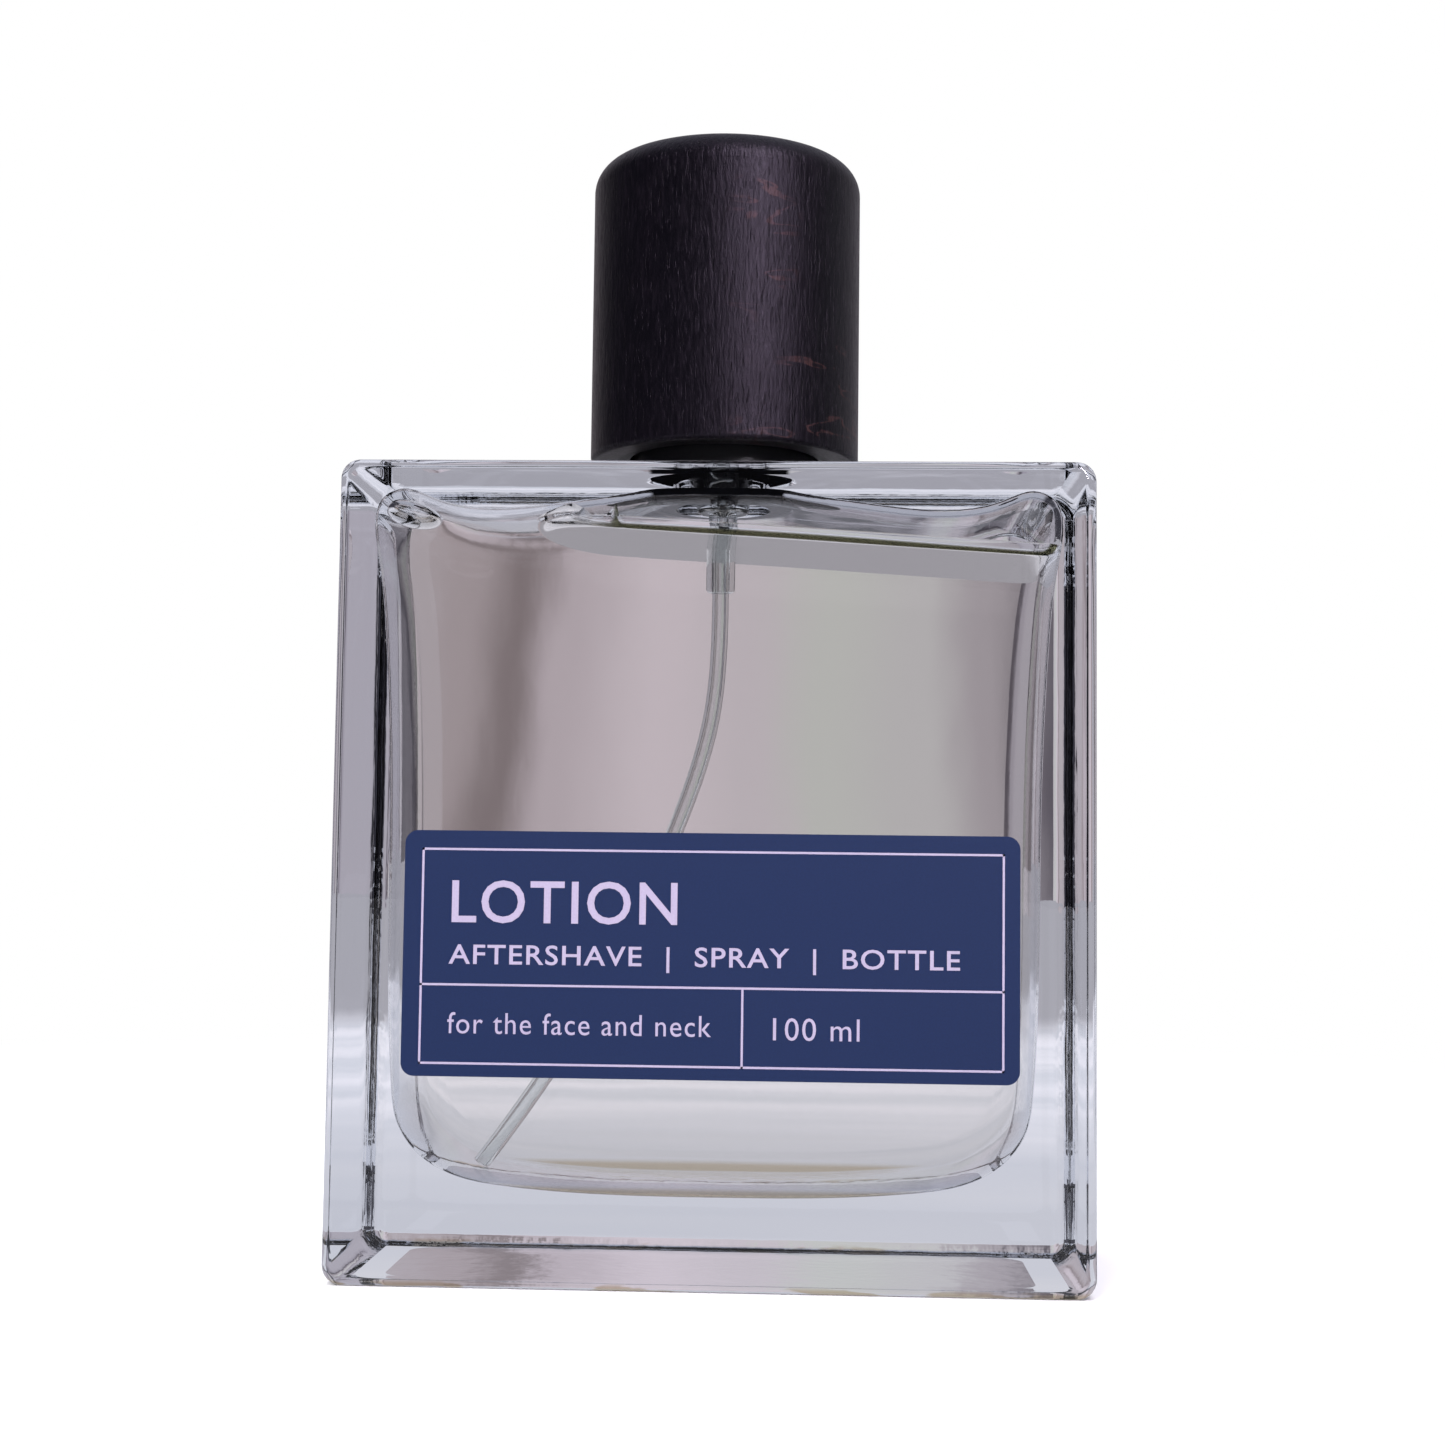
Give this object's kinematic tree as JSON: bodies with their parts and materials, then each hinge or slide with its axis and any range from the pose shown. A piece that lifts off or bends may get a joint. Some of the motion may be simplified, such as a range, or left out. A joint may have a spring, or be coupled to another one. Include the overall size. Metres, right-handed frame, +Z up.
{
  "type": "aftershave bottle",
  "caption": "Thick clear glass block bottle of aftershave with a printed front label, a crimped spray pump with dip tube, and a dark turned wooden lift-off cap.",
  "frame": {"origin": "centre of the base, on the surface the bottle stands on", "axes": "+Z up through the neck, -Y out of the face that carries the label, +X to the right when facing the label"},
  "size_m": [0.07, 0.0357, 0.1089],
  "materials": {
    "clear_glass": "gloss",
    "aftershave": "gloss",
    "label_blue": "matte",
    "gasket_rubber": "matte",
    "clear_plastic": "satin",
    "white_plastic": "satin",
    "ferrule_metal": "satin",
    "spring_steel": "polished",
    "black_plastic": "satin",
    "liner_plastic": "matte",
    "dark_wood": "satin"
  },
  "bodies": {
    "bottle": {"glass_bottle": "clear_glass", "liquid": "aftershave", "front_label": "label_blue", "neck_gasket": "gasket_rubber", "pump_housing": "clear_plastic", "stem_seal": "gasket_rubber", "turret": "white_plastic", "crimp_ferrule": "ferrule_metal", "ferrule_collar": "black_plastic", "dip_tube": "clear_plastic", "return_spring": "spring_steel"},
    "cap": {"wood_cap": "dark_wood", "cap_liner": "liner_plastic"},
    "stem": {"pump_stem": "white_plastic", "stem_core": "white_plastic", "precompression_spring": "spring_steel"},
    "button": {"actuator": "black_plastic", "nozzle_insert": "black_plastic"},
    "piston": {"piston": "white_plastic"},
    "ball": {"inlet_ball": "spring_steel"}
  },
  "joints": [
    {"name": "cap_lift", "type": "slide", "parent": "bottle", "child": "cap", "axis": [0, 0, 1], "range_m": [0, 0.045]},
    {"name": "pump_press", "type": "slide", "parent": "bottle", "child": "stem", "axis": [0, 0, -1], "range_m": [0, 0.004], "stiffness_N_per_m": 500, "springref_m": -0.004, "deforming": ["return_spring"]},
    {"name": "piston_slide", "type": "slide", "parent": "bottle", "child": "piston", "axis": [0, 0, -1], "range_m": [0, 0.0033], "deforming": ["precompression_spring"]},
    {"name": "button_turn", "type": "hinge", "parent": "stem", "child": "button", "pos_m": [0, 0, 0.094], "axis": [0, 0, 1], "continuous": true},
    {"name": "ball_lift", "type": "slide", "parent": "bottle", "child": "ball", "axis": [0, 0, 1], "range_m": [0, 0.0006]}
  ],
  "couplings": [
    {"joint": "piston_slide", "follows": "pump_press", "ratio": 0.825}
  ]
}
